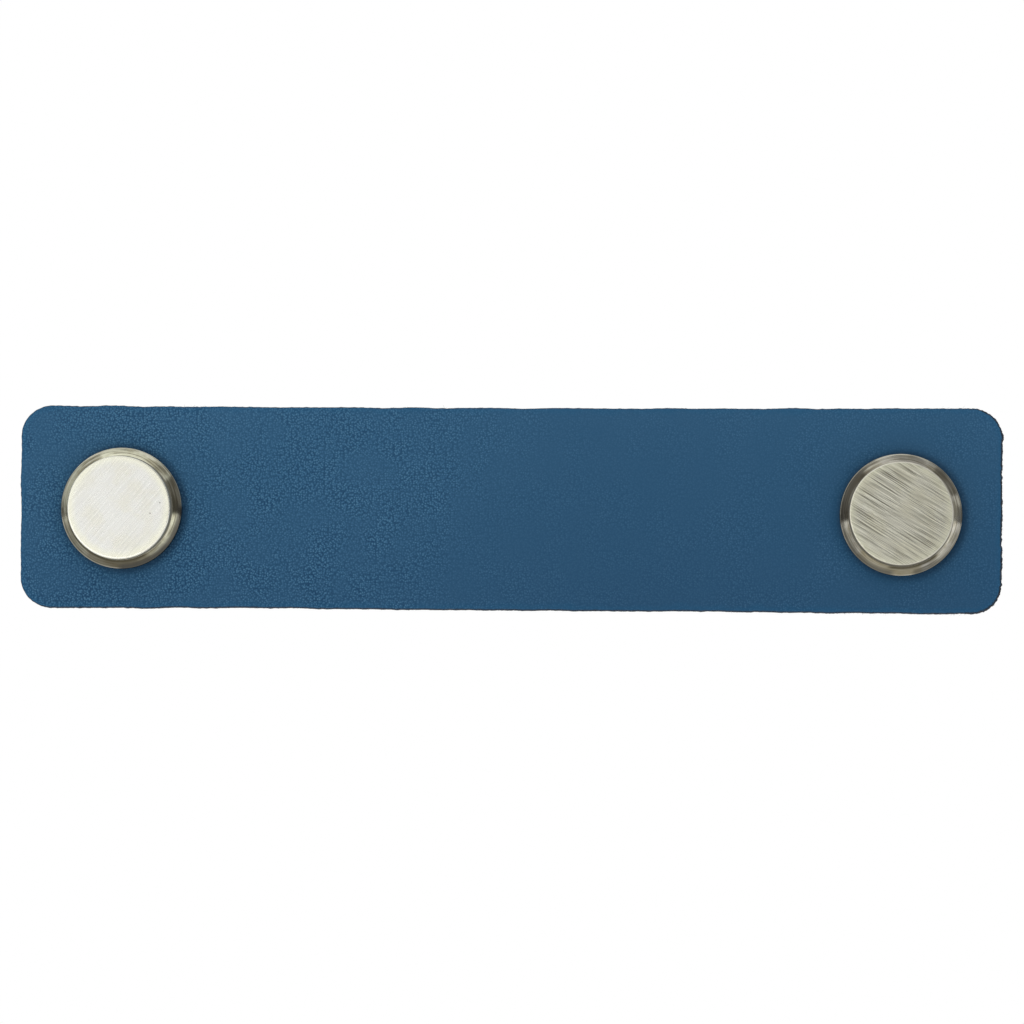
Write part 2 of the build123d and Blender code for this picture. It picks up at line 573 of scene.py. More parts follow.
def leather_strap():
    """The strap as one closed mesh, with stored numbers for its material.

    Its points lie in loops from the front hole edges out over the front, down the cut side, in over
    the back and to the back hole edges. `inset` is the distance in from the edge in millimetres.
    """
    along = mesh_columns()
    place, outward = outline_at(along), outward_at(along)
    edge = place + outward * cut_line(along, place, outward)[:, None]
    rough = right_end(place[:, 0])
    middle = middle_path()
    total = len(along)
    loops = []

    def add_loop(xz, y, inset, side, back):
        """A loop of points: X and Z, Y, and the numbers for the material."""
        columns = (xz[:, 0], y, xz[:, 1], inset, side, back)
        loops.append(np.column_stack([column * np.ones(total) for column in columns]))

    def flat_loops(shares, arris, surface, back):
        """Loops over the front or the back, at shares of the way from the edge to the holes."""
        rim = edge - outward * arris[:, None]
        for share in shares:
            xz = rim + (middle - rim) * share
            distance = np.linalg.norm(xz - edge, axis=1) / MM
            add_loop(xz, surface(*xz.T), distance, 0, back)

    uneven = 0.12 * wander(along, 5, 21) + 0.25 * rough * wander(along, 1.2, 22)
    front_arris = FRONT_ARRIS * (1 + uneven)
    back_arris = BACK_ARRIS * (1 + 0.25 * wander(along, 1.5, 23))
    spread = np.linspace(0, 1, 32) ** 1.35
    flat_loops(spread[:0:-1], front_arris, front_surface, 0)
    front = front_surface(*(edge - outward * front_arris[:, None]).T)
    for angle in np.radians((90, 68, 46, 23, 0)):
        inset = front_arris * (1 - math.cos(angle))
        y = front + front_arris * (1 - math.sin(angle))
        add_loop(edge - outward * inset[:, None], y, inset / MM, 1 - angle / math.radians(90), 0)
    bottom = -back_arris
    top = front + front_arris
    for level, share in enumerate(np.linspace(0, 1, 9)[1:-1]):
        seed = 40 + 9 * level
        fibres = 0.020 * wander(along, 3.0, seed) + 0.014 * wander(along, 0.9, seed + 1)
        bulge = 0.05 * math.sin(math.pi * share)
        out = MM * (bulge + fibres * (1 + 1.8 * rough))
        add_loop(edge + outward * out[:, None], top + (bottom - top) * share, 0, 1, 0)
    for angle in np.radians((0, 30, 60, 90)):
        xz = edge - outward * (back_arris * (1 - math.cos(angle)))[:, None]
        add_loop(xz, -back_arris * (1 - math.sin(angle)), 0, math.cos(angle), math.sin(angle))
    back_spread = np.linspace(0, 1, 16)[1:] ** 1.2
    flat_loops(back_spread, back_arris, back_surface, 1)

    faces = strap_faces(len(loops), total)
    values = np.concatenate(loops)
    used = np.unique([i for face in faces for i in face])
    renumbered = np.zeros(len(values), int)
    renumbered[used] = np.arange(len(used))
    values = values[used]
    faces = [tuple(int(renumbered[i]) for i in face) for face in faces]
    piece = finished_mesh("strap", values[:, :3], faces)
    for column, name in enumerate(("inset", "side", "back"), 3):
        store(piece, name, values[:, column])
    return piece


# Where along the outline loose fibres stand in tufts: a place on it in X, its top or bottom, the
# number of fibres, how far they spread along it and how long the longest is, all in millimetres
TUFTS = (
    (-62.6, "top", 7, 0.9, 0.5),
    (-53.0, "top", 9, 1.6, 0.6),
    (-50.6, "top", 5, 0.8, 0.4),
    (-18.3, "top", 5, 1.2, 0.4),
    (-10.9, "top", 2, 0.2, 0.9),
    (70.5, "top", 12, 3.0, 0.6),
    (-58.0, "bottom", 6, 3.0, 0.4),
    (-24.0, "bottom", 5, 2.0, 0.3),
    (34.0, "bottom", 10, 8.0, 0.4),
    (58.0, "bottom", 22, 9.0, 0.5),
    (73.0, "bottom", 26, 4.0, 0.6),
)


# Points along a fibre, and how much of it lies in the strap
FIBRE_POINTS = 6
FIBRE_ROOT = 0.08 * MM


def fibre_places(random):
    """Distances along the outline and greatest lengths of the strap's loose fibres."""
    places = [(reach, 0.22) for reach in random.uniform(0, OUTLINE_LENGTH, 70)]
    samples = np.linspace(0, OUTLINE_LENGTH, 4000)
    stops = outline_at(samples)
    for x, edge, count, spread, longest in TUFTS:
        sign = 1 if edge == "top" else -1
        other_edge = np.sign(stops[:, 1]) != sign
        middle = samples[np.argmin(abs(stops[:, 0] - x * MM) + 1000 * other_edge)]
        places += [(middle + random.normal(0, spread / 2) * MM, longest) for _ in range(count)]
    reaches = random.uniform(0, OUTLINE_LENGTH, 600)
    places += [(reach, 0.35) for reach in reaches if outline_at(reach)[0] > 76 * MM]
    return places


def strap_fibres():
    """Loose fibres on the cut edge: thin tapered tubes that curl out of it."""
    random = np.random.RandomState(31)
    points, faces = [], []
    for reach, longest in fibre_places(random):
        along = np.array([reach])
        place, outward = outline_at(along), outward_at(along)
        edge = (place + outward * (cut_line(along, place, outward) - 0.05 * MM)[:, None])[0]
        root = np.array((edge[0], random.uniform(-3.2, -0.4) * MM, edge[1]))
        out = np.array((outward[0, 0], 0, outward[0, 1]))
        sideways = np.array((-out[2], 0, out[0])) * random.normal(0, 0.7)
        curl = np.cross(out, random.normal(0, 1, 3)) * random.uniform(0.3, 1.0)
        length = MM * longest * random.uniform(0.25, 1.0) ** 1.5 + FIBRE_ROOT
        start = out + sideways + np.array((0, random.normal(0, 0.35), 0))
        start /= np.linalg.norm(start)
        thick = random.uniform(0.010, 0.019) * MM
        side = np.cross(start, (0.3, 0.8, 0.5))
        side /= np.linalg.norm(side)
        up = np.cross(start, side)
        first = len(points)
        for share in np.linspace(0, 1, FIBRE_POINTS)[:-1]:
            centre = root + length * (start * share + curl * share * share * 0.5)
            radius = thick * (1 - share) ** 0.6
            for angle in (0, TURN / 3, TURN * 2 / 3):
                points.append(centre + radius * (math.cos(angle) * side + math.sin(angle) * up))
        points.append(root + length * (start + curl * 0.5))
        tip = len(points) - 1
        faces.append((first, first + 1, first + 2))
        for k, after in ((0, 1), (1, 2), (2, 0)):
            for ring in range(first, tip - 3, 3):
                faces.append((ring + k, ring + after, ring + 3 + after, ring + 3 + k))
            faces.append((tip - 3 + k, tip - 3 + after, tip))
    return finished_mesh("strap_fibres", points, faces, 180)


# ---- heads, screws, washers

# Rows of one pitch of thread: how far along Y each lies, and how much of the ridge it has
SCREW_SHARES = ((0, 0), (0.25, 0), (0.5625, 1), (0.6875, 1))
BORE_SHARES = ((0, 0), (0.125, 0), (0.4375, 1), (0.6875, 1))
BORE_PHASE = 0.5625

# How far the middle of each face stands from its head's axis, in X and Z
FACE_OFF_CENTRE = {"left": (0.0, -0.10 * MM), "right": (0.07 * MM, 0.04 * MM)}


def head_profile():
    """Radius and Y in millimetres, from the mouth of a head's bore round to its face."""
    face, seat, boss_end = HEAD_LOW.y / MM, HEAD_SEAT / MM, HEAD_HIGH.y / MM
    radius, boss, face_radius = HEAD_RADIUS / MM, BOSS_RADIUS / MM, FACE_RADIUS / MM
    rim_rounding, face_rounding = RIM_ROUNDING / MM, FACE_ROUNDING / MM
    rim_front = seat - RIM_HEIGHT / MM
    rim_edge = (radius, rim_front + rim_rounding)
    bevel_foot = np.array((radius - rim_rounding, rim_front))
    collar_foot = np.array((face_radius + COLLAR_FLARE / MM, COLLAR_FOOT / MM))
    collar_top = np.array((face_radius, face + face_rounding))
    face_edge = (face_radius - face_rounding, face)
    in_arc = 0.293 * face_rounding
    return [
        (2.3, boss_end),
        (boss - 0.25, boss_end),
        (boss - 0.07, boss_end - 0.07),
        (boss, boss_end - 0.25),
        (boss, seat),
        (radius - 0.16, seat),
        (radius - 0.05, seat - 0.05),
        (radius, seat - 0.16),
        (radius, (seat + rim_edge[1]) / 2),
        rim_edge,
        *arc_through(rim_edge, (radius - 0.06, rim_front + 0.06), bevel_foot, 5),
        *np.linspace(bevel_foot, collar_foot, 14, endpoint=False),
        *np.linspace(collar_foot, collar_top, 6, endpoint=False),
        collar_top,
        *arc_through(collar_top, (face_radius - in_arc, face + in_arc), face_edge, 6),
        *((reach, face) for reach in (8.3, 8.1, 7.6, 6.8, 5.8, 4.6, 3.2, 1.6)),
    ]


def brass_head(side):
    """A head: threaded bore, boss, seat, rim, bevel, collar and brushed face."""
    face, rim_front = HEAD_LOW.y, HEAD_SEAT - RIM_HEIGHT
    lathe = Turned(HEAD_X[side], 160)
    lathe.tip(face + BORE_FLOOR)
    lathe.ring(BORE_MAJOR, face + BORE_FLOOR)
    lathe.thread(HEAD_HIGH.y - 0.3 * MM, BORE_MAJOR, BORE_MINOR, BORE_SHARES, BORE_PHASE)
    lathe.rings(head_profile(), MM)
    lathe.tip(face)

    # The bevel isn't quite round, and the face stands a little off centre
    points = np.array(lathe.points)
    x, y, z = points[:, 0] - HEAD_X[side], points[:, 1], points[:, 2]
    out = np.hypot(x, z)
    on_bevel = smoothstep((y - face - 1.5 * MM) / (0.5 * MM))
    on_bevel *= smoothstep((rim_front + 0.1 * MM - y) / (0.4 * MM))
    on_bevel *= out > FACE_RADIUS - 0.1 * MM
    seed = SIDES.index(side)
    uneven = ripple(x, z, 6, 51 + seed) + 0.5 * ripple(x, z, 2.4, 61 + seed)
    uneven *= 0.014 * MM * on_bevel / np.maximum(out, MM)
    lean = smoothstep((rim_front - y) / (2.4 * MM))
    for axis, across, off_centre in zip((0, 2), (x, z), FACE_OFF_CENTRE[side]):
        points[:, axis] += across * uneven + off_centre * lean
    return finished_mesh(f"{side}_brass_head", points, lathe.faces)


def washer_ring(side):
    """A washer with one side's edge rolled over by the punch and the other's left crisp."""
    outer, bore = WASHER_RADIUS / MM, WASHER_BORE / MM
    front, back = WASHER_LOW.y / MM, WASHER_HIGH.y / MM
    middle = (bore + outer) / 2
    lathe = Turned(HEAD_X[side], 128)
    lathe.rings([
        (bore, front + 0.15), (bore + 0.05, front + 0.05), (bore + 0.15, front), (middle, front),
        (outer - 0.08, front), (outer - 0.02, front + 0.02), (outer, front + 0.08),
        (outer, back - 0.3), (outer - 0.04, back - 0.14), (outer - 0.14, back - 0.04),
        (outer - 0.3, back), (middle, back), (bore + 0.3, back), (bore + 0.1, back - 0.04),
        (bore + 0.02, back - 0.14), (bore, back - 0.3),
    ], MM)
    lathe.close()
    return finished_mesh(f"{side}_steel_washer", lathe.points, lathe.faces)


def recess_cutter(side):
    """The wings and the cone of a Phillips bit, as separate closed meshes to cut with."""
    mouth, floor = SCREW_HIGH.y + 0.5 * MM, SCREW_HIGH.y - RECESS_DEPTH
    turn = math.radians(RECESS_TURN[side])
    cutters = []
    for angle in (turn, turn + TURN / 4):
        points = []
        for y, span, width in ((mouth, 5.1 * MM, 1.08 * MM), (floor, 2.64 * MM, 0.57 * MM)):
            for u, v in ((-1, -1), (1, -1), (1, 1), (-1, 1)):
                a, b = u * span / 2, v * width / 2
                x = a * math.cos(angle) - b * math.sin(angle)
                z = a * math.sin(angle) + b * math.cos(angle)
                points.append((HEAD_X[side] + x, y, -z))
        faces = [(0, 1, 2, 3), (7, 6, 5, 4)]
        faces += [(k, k + 4, (k + 1) % 4 + 4, (k + 1) % 4) for k in range(4)]
        cutters.append(finished_mesh("cutter", points, faces))
    cone = Turned(HEAD_X[side], 24)
    cone.tip(floor - 0.25 * MM)
    cone.ring(0.62 * MM, floor)
    cone.ring(1.18 * MM, mouth)
    cone.tip(mouth)
    cutters.append(finished_mesh("cutter", cone.points, cone.faces))
    return cutters


def machine_screw(side):
    """An M4 pan-head screw with a rolled thread up to its head and a cross recess."""
    tip, seat, top = SCREW_LOW.y / MM, WASHER_HIGH.y / MM, SCREW_HIGH.y / MM
    wide, crown, root = SCREW_HEAD_RADIUS / MM, CROWN_RADIUS / MM, SCREW_ROOT / MM
    lathe = Turned(HEAD_X[side], 96)
    lathe.tip(tip * MM)
    lathe.rings([(1.2, tip), (1.45, tip + 0.12), (root, tip + 0.35)], MM)
    lathe.thread((seat - 0.5) * MM, SCREW_ROOT, SCREW_MAJOR, SCREW_SHARES, 0)
    edge = top - crown + math.sqrt(crown ** 2 - wide ** 2)
    lathe.rings([
        (root + 0.05, seat - 0.2),
        (1.8, seat),
        (wide - 0.3, seat),
        (wide - 0.1, seat + 0.06),
        (wide, seat + 0.25),
        (wide, edge - 0.35),
        (wide - 0.03, edge - 0.15),
        (wide - 0.12, edge + 0.04),
    ], MM)
    reaches = (3.7, 3.4, 3.0, 2.5, 2.0, 1.5, 1.0, 0.5)
    lathe.rings([(r, top - crown + math.sqrt(crown ** 2 - r ** 2)) for r in reaches], MM)
    lathe.tip(top * MM)
    screw = finished_mesh(f"{side}_machine_screw", lathe.points, lathe.faces)
    for cutter in recess_cutter(side):
        cut = screw.modifiers.new("recess", "BOOLEAN")
        cut.object = cutter
        cut.operation = "DIFFERENCE"
        cut.solver = "EXACT"
    seen = screw.evaluated_get(bpy.context.evaluated_depsgraph_get())
    mesh = bpy.data.meshes.new_from_object(seen)
    for modifier in list(screw.modifiers):
        bpy.data.objects.remove(modifier.object)
    screw.modifiers.clear()
    screw.data = mesh
    smooth_out(mesh, 35)
    return screw


# ---- the pieces' materials


LEATHER = {
    # The crease and top colours: partly the grain's own tone, partly painted shade in the creases
    # and painted light on the tops
    "crease_and_shade": (0.004, 0.046, 0.120),
    "top": (0.051, 0.178, 0.328),
    # Painted glints on the tops of the pebbles
    "painted_glint": (0.110, 0.270, 0.410),
    "mottle": (0.014, 0.090, 0.195),
    # A painted contact shadow round the heads
    "pressed": (0.004, 0.032, 0.078),
    "near_edge": (0.008, 0.110, 0.240),
    "dye": (0.030, 0.052, 0.085),
    "bare": (0.022, 0.018, 0.016),
    "pale": (0.075, 0.085, 0.105),
    "suede": (0.035, 0.062, 0.095),
    "suede_top": (0.075, 0.115, 0.160),
    "suede_stain": (0.050, 0.070, 0.095),
    "fibre": (0.018, 0.022, 0.032),
    "pale_fibre": (0.085, 0.095, 0.115),
}
# The pebbles' cells for each metre, how far their places are warped, and the grain's mean
PEBBLES = 2550.0
PEBBLE_WARP = 0.35 * MM
GRAIN_MEAN = 0.37


def leather_grain(m, place):
    """Pebbles run together into short worms, in a warped place so that no two are alike."""
    warp = m.noise(place, 1100, 1, output="Color")
    warp = m.vector("MULTIPLY", m.vector("SUBTRACT", warp, (0.5, 0.5, 0.5)), (PEBBLE_WARP,) * 3)
    warped = m.vector("ADD", place, warp)
    flat = m.combined(m.along(warped, "X"), m.along(warped, "Z"))
    inputs = {"Vector": flat, "Scale": PEBBLES, "Randomness": 0.9}
    cells = m.added("ShaderNodeTexVoronoi", inputs, voronoi_dimensions="2D").outputs
    tone = m.along(cells["Color"], "X")
    pebble = m.window(cells["Distance"], 0.60, 0.08)
    pebble = m.times(pebble, m.plus(m.times(tone, 0.5), 0.75))
    worm = m.cloud(flat, 5200, 0.36, 0.64, detail=1)
    return m.plus(m.times(pebble, 0.72), m.times(worm, 0.28))


def leather_material():
    """Blue pebbled leather, dyed dark at its cut edge, with a napped flesh side."""
    m = Material("blue_leather", Specular_IOR_Level=0.2)
    place = m.where()
    inset, side, back = m.attribute("inset"), m.attribute("side"), m.attribute("back")
    x, z = m.along(place, "X"), m.along(place, "Z")

    # The grain is strong on the left and fades past the middle
    drift = m.minus(m.noise(place, 45), 0.5)
    grain_x = m.plus(x, m.times(drift, 0.05))
    left_part = m.window(grain_x, -0.030, 0.012, 0.9, 0.20)
    right_part = m.window(grain_x, 0.030, 0.055, 0, 0.05)
    patches = m.cloud(place, 170, 0.32, 0.68, 0.45, 1.35)
    strength = m.times(m.plus(left_part, right_part), patches)
    grain = leather_grain(m, place)
    fine = m.noise(place, 7000, 3, 0.6)
    relief = m.plus(m.times(grain, strength), m.times(fine, 0.08))

    # Colour: dark creases and light tops, partly the grain's own tone and partly painted shade and
    # light on its relief, with painted glints on the tops; painted light, lighter upwards and to
    # the left, and a darker band round X = 18 mm; slow mottling; a painted contact shadow round the
    # heads; and richer just inside the edge
    swing = m.times(m.minus(grain, GRAIN_MEAN), strength)
    # Painted light: lighter upwards and to the left, and darker round X = 18 mm
    painted_light = m.minus(m.times(z, 5.3), m.times(x, 0.8))
    from_dark_band = m.math("ABSOLUTE", m.minus(x, 0.018))
    painted_light = m.minus(painted_light, m.window(from_dark_band, 0.0, 0.05, 0.06, 0))
    light = m.plus(m.plus(swing, painted_light), 0.475)
    # Dark creases and light tops: partly the grain's own tone, partly painted shade and light on
    # the relief
    colour = m.blend(light, LEATHER["crease_and_shade"], LEATHER["top"])
    # Painted glints on the pebbles' tops, strongest on the left where the grain is strongest
    painted_glint = m.times(m.window(grain, 0.72, 0.95), m.times(strength, 0.45))
    colour = m.blend(painted_glint, colour, LEATHER["painted_glint"])
    mottle = m.cloud(place, 70, 0.3, 0.7, 0, 0.16, 3, 0.55)
    colour = m.blend(mottle, colour, LEATHER["mottle"])
    # A painted contact shadow round each head, its centre set a little right and down so it shows
    # most on the right
    for side_x in HEAD_X.values():
        away = m.distance(place, (side_x + 0.30 * MM, STRAP_LOW.y, -0.05 * MM))
        pressed = m.window(away, 10.1 * MM, 11.2 * MM, 0.55, 0)
        colour = m.blend(pressed, colour, LEATHER["pressed"])
    ragged = m.plus(inset, m.times(m.noise(place, 420), 1.6))
    near_edge = m.times(m.window(ragged, 1.0, 2.1, 1, 0), 0.30)
    colour = m.blend(near_edge, colour, LEATHER["near_edge"])

    # Cut edge: dark dye with brown and pale fibres showing, more of them bare at the right end
    fibre = m.noise(m.stretched(place, (1, 0.35, 1)), 3200, 3, 0.65)
    bare = m.window(m.plus(fibre, m.window(x, 0.070, 0.080, 0, 0.10)), 0.50, 0.62)
    cut = m.blend(bare, LEATHER["dye"], LEATHER["bare"])
    pale = m.cloud(place, 900, 0.56, 0.66, 0, 0.5)
    cut = m.blend(pale, cut, LEATHER["pale"])
    line = m.plus(inset, m.times(m.minus(m.noise(place, 1900), 0.5), 0.22))
    line = m.minus(line, m.window(x, 0.073, 0.079, 0, 0.13))
    dyed = m.math("MAXIMUM", m.window(line, 0.04, 0.16, 0.8, 0), m.window(side, 0.35, 0.8))
    colour = m.blend(dyed, colour, cut)

    # Flesh side
    nap = m.noise(m.stretched(place, (1, 1, 0.4), 0.4), 1500, 4, 0.7)
    suede = m.blend(m.window(nap, 0.35, 0.65), LEATHER["suede"], LEATHER["suede_top"])
    stain = m.cloud(place, 90, 0.4, 0.65, 0, 0.35, 3)
    suede = m.blend(stain, suede, LEATHER["suede_stain"])
    m.set("Base Color", m.blend(back, colour, suede))

    fuzz = m.math("MAXIMUM", dyed, back)
    m.set("Roughness", m.blend(fuzz, m.blend(grain, 0.62, 0.46), 0.9))
    height = m.blend(fuzz, relief, m.times(m.plus(fibre, nap), 1.3))
    m.set("Normal", m.bump(height, 0.04 * MM))
    return m.made


def fibre_material():
    """Loose leather fibres, dark with a few pale ones."""
    m = Material("leather_fibre", Roughness=0.85, Specular_IOR_Level=0.2)
    tone = m.cloud(m.where(), 900, 0.42, 0.62, detail=1)
    m.set("Base Color", m.blend(tone, LEATHER["fibre"], LEATHER["pale_fibre"]))
    return m.made


# Each head's own wear and painted light: which way its face was brushed and how hard, how far down
# its collar the brushing goes, its colours, and where its bevel has painted dark reflections, a
# painted brown reflection and painted shadow and dark reflections over its outer part, as clock
# angles seen from the room with half their widths in degrees, and how strong each is. A painted
# shadow line lies beside the collar round one clock angle.
WEAR = {
    "left": {
        "brushed": 50.0, "strong": 0.08, "depth": 0.0016 * MM, "arris": 0.16 * MM,
        "face": (0.726, 0.724, 0.688), "worn": (0.71, 0.70, 0.63), "scratch": (0.40, 0.38, 0.32),
        "bevel": (0.60, 0.60, 0.46), "tarnish": (0.40, 0.38, 0.27), "collar": (0.46, 0.42, 0.32),
        "dark_reflection": ((14, 18, 0.9), (238, 52, 0.45)), "brown": (268, 33, 0.75, (0.11, 0.080, 0.038)),
        "painted_outer_shade": ((316, 46, 0.95), (205, 30, 0.3), (72, 42, 0.2)), "line": (238, 60),
    },
    "right": {
        "brushed": -30.0, "strong": 1.0, "depth": 0.007 * MM, "arris": 0.04 * MM,
        "face": (1.0, 0.985, 0.845), "worn": (0.96, 0.935, 0.76), "scratch": (0.24, 0.23, 0.17),
        "bevel": (0.50, 0.485, 0.43), "tarnish": (0.36, 0.335, 0.26), "collar": (0.30, 0.27, 0.20),
        "dark_reflection": ((36, 15, 0.8), (160, 26, 0.9), (100, 34, 0.35)),
        "brown": (258, 34, 0.65, (0.28, 0.235, 0.13)), "line": (284, 26),
        "painted_outer_shade": ((222, 40, 0.75), (325, 42, 0.65), (62, 20, 0.4), (150, 34, 0.5)),
    },
}
BRASS = {
    "deep_scratch": (0.12, 0.112, 0.08),
    "face_edge": (0.84, 0.83, 0.63),
    "arris": (0.97, 0.95, 0.84),
    "pit": (0.20, 0.19, 0.16),
    "light_mark": (0.80, 0.78, 0.66),
    "dark_mark": (0.18, 0.16, 0.11),
    # Painted dark reflections laid on the bevel at some clock angles
    "dark_reflection": (0.085, 0.076, 0.055),
    # A painted highlight round the rim's edge
    "rim": (0.74, 0.72, 0.62),
    # Painted shadow and dark reflections over the bevel's outer part
    "painted_outer_shade": (0.10, 0.095, 0.08),
    # A painted shadow line beside the collar foot
    "line": (0.09, 0.08, 0.05),
}
# Two pits in the left face: X and Z from its middle
PITS = ((6.8 * MM, 0.74 * MM), (5.2 * MM, -1.0 * MM))
PIT_RADIUS = 0.15 * MM


def scratches(m, place, turn, along, across, low, high):
    """Parallel scratches: noise drawn out along one direction."""
    drawn_out = m.stretched(place, (along, 0, across), turn)
    return m.cloud(drawn_out, 1.0, low, high, detail=1)


def face_colour(m, side, place, lines, deep):
    """A brushed face: worn in patches, scratched, and bright towards its edge."""
    wear = WEAR[side]
    flat = m.off_axis(place)
    radius = m.length(flat)
    patches = m.cloud(place, 260, 0.4, 0.65, 0, 1, 3, 0.55)
    face = m.blend(patches, wear["face"], wear["worn"])
    shade = m.times(m.minus(1.0, lines), 0.73 * wear["strong"])
    face = m.blend(shade, face, wear["scratch"])
    face = m.blend(m.times(deep, 0.9 * wear["strong"]), face, BRASS["deep_scratch"])
    face = m.blend(m.window(radius, 6.8 * MM, 8.4 * MM, 0, 0.55), face, BRASS["face_edge"])
    face = m.blend(m.window(radius, 8.22 * MM, 8.34 * MM, 0, 0.8), face, BRASS["arris"])
    if side == "left":
        for x, z in PITS:
            away = m.distance(flat, (x, 0, z))
            pit = m.window(away, PIT_RADIUS, PIT_RADIUS / 2, 0, 0.85)
            face = m.blend(pit, face, BRASS["pit"])
    return face


def bevel_colour(m, side, place, turned, mottle):
    """The bevel and the rim, with turning marks, and with painted reflections, highlight and shade
    round them.
    """
    wear = WEAR[side]
    flat = m.off_axis(place)
    radius, ahead = m.length(flat), m.vector("NORMALIZE", flat)
    bevel = m.blend(m.window(mottle, 0.40, 0.62), wear["bevel"], wear["tarnish"])
    bevel = m.blend(m.window(turned, 0.52, 0.64, 0, 0.65), bevel, BRASS["light_mark"])
    bevel = m.blend(m.window(turned, 0.48, 0.38, 0, 0.7), bevel, BRASS["dark_mark"])

    def sector(angle, half_width):
        """1 round a clock angle, and 0 beyond a ragged edge."""
        way = (math.cos(math.radians(angle)), 0, math.sin(math.radians(angle)))
        facing = m.vector("DOT_PRODUCT", ahead, way, "Value")
        facing = m.plus(facing, m.times(m.minus(mottle, 0.5), 0.08))
        outer, inner = (math.cos(math.radians(half_width + step)) for step in (4, -3))
        return m.window(facing, outer, inner)

    streaked = m.window(turned, 0.64, 0.46, 0.82, 1.0)
    # A painted brown reflection across the bottom of the bevel
    angle, half_width, amount, brown = wear["brown"]
    stained = m.times(sector(angle, half_width), m.times(streaked, amount))
    bevel = m.blend(stained, bevel, brown)
    # Painted dark reflections over the bevel, round given clock angles
    for angle, half_width, amount in wear["dark_reflection"]:
        stained = m.times(sector(angle, half_width), m.times(streaked, amount))
        bevel = m.blend(stained, bevel, BRASS["dark_reflection"])
    # A painted highlight in a thin band round the rim's rounded edge
    rim = m.window(radius, HEAD_RADIUS - 0.26 * MM, HEAD_RADIUS - 0.14 * MM, 0, 0.45)
    bevel = m.blend(rim, bevel, BRASS["rim"])
    # Painted shadow and dark reflections over the outer part of the bevel, round given clock angles
    outer = m.window(radius, 8.9 * MM, 9.6 * MM)
    for angle, half_width, amount in wear["painted_outer_shade"]:
        painted_outer_shade = m.times(m.times(sector(angle, half_width), outer), amount)
        bevel = m.blend(painted_outer_shade, bevel, BRASS["painted_outer_shade"])
    # A painted shadow line beside the collar foot, round one clock angle
    shadow_from, shadow_to = COLLAR_FOOT + 0.38 * MM, COLLAR_FOOT + 0.16 * MM
    beside = m.window(m.along(place, "Y"), shadow_from, shadow_to, 0, 0.85)
    return m.blend(m.times(beside, sector(*wear["line"])), bevel, BRASS["line"])


def brass_material(side):
    """Antique brass: a brushed face, a dark collar, and a bevel with turning marks and painted
    reflections.
    """
    wear = WEAR[side]
    m = Material(f"{side}_antique_brass", Metallic=1.0)
    place = m.where((HEAD_X[side], 0, 0))
    y = m.along(place, "Y")
    face_end = HEAD_LOW.y + wear["arris"]
    on_face = m.window(y, face_end - 0.06 * MM, face_end + 0.06 * MM, 1, 0)
    on_collar = m.window(y, COLLAR_FOOT + 0.05 * MM, COLLAR_FOOT - 0.05 * MM)

    # Brushing along one direction: fine lines, broader strokes and a few long, deep scratches
    turn = math.radians(wear["brushed"])
    fine = scratches(m, place, turn, 130, 10500, 0.40, 0.60)
    stroke = scratches(m, place, turn + 0.03, 75, 5600, 0.38, 0.62)
    deep = scratches(m, place, turn - 0.035, 100, 9800, 0.56, 0.63)
    lines = m.plus(m.times(fine, 0.72), m.times(stroke, 0.28))
    brushed = m.minus(lines, m.times(deep, 0.7))

    # Turning marks run round the bevel and the rim
    radius = m.length(m.off_axis(place))
    around = m.math("ARCTAN2", m.along(place, "Z"), m.along(place, "X"))
    rings = m.combined(m.times(around, 1.6), m.times(y, 3400.0), m.times(radius, 3400.0))
    turned = m.noise(rings, 1.0, 2, 0.55)
    mottle = m.noise(place, 300, 3, 0.6)

    colour = m.blend(on_collar, bevel_colour(m, side, place, turned, mottle), wear["collar"])
    m.set("Base Color", m.blend(on_face, colour, face_colour(m, side, place, lines, deep)))
    bevel_rough = m.blend(m.window(mottle, 0.40, 0.62), 0.11, 0.20)
    rough = m.blend(on_collar, bevel_rough, 0.55)
    m.set("Roughness", m.blend(on_face, rough, m.blend(fine, 0.34, 0.26)))
    m.set("Metallic", m.blend(on_face, m.blend(on_collar, 1.0, 0.6), 1.0))
    height = m.blend(on_face, m.times(turned, 0.8), brushed)
    m.set("Normal", m.bump(height, wear["depth"]))
    return m.made


def steel_material(name, tint, axis_x):
    """Zinc-plated steel, bright with faint clouding and fine marks round its axis."""
    m = Material(name, Metallic=1.0)
    place = m.where((axis_x, 0, 0))
    radius = m.length(m.off_axis(place))
    around = m.math("ARCTAN2", m.along(place, "Z"), m.along(place, "X"))
    rings = m.combined(around, m.times(radius, 4200.0), m.times(m.along(place, "Y"), 2600.0))
    marks = m.noise(rings, 1.0, 2, 0.6)
    cloud = m.cloud(place, 420, 0.35, 0.65, 0, 1, 3, 0.6)
    darker = tuple(0.82 * c for c in tint)
    m.set("Base Color", m.blend(cloud, tint, darker))
    m.set("Roughness", m.plus(m.blend(cloud, 0.22, 0.34), m.times(marks, 0.08)))
    m.set("Normal", m.bump(m.plus(marks, m.noise(place, 5200)), 0.005 * MM))
    return m.made


# ---- the pieces


def add(piece, body, slot, material, *replaced):
    """Gives a finished piece its material and its place in the frame."""
    piece.data.materials.clear()
    piece.data.materials.append(material)
    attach(piece, body)
    if replaced:
        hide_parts(*replaced)


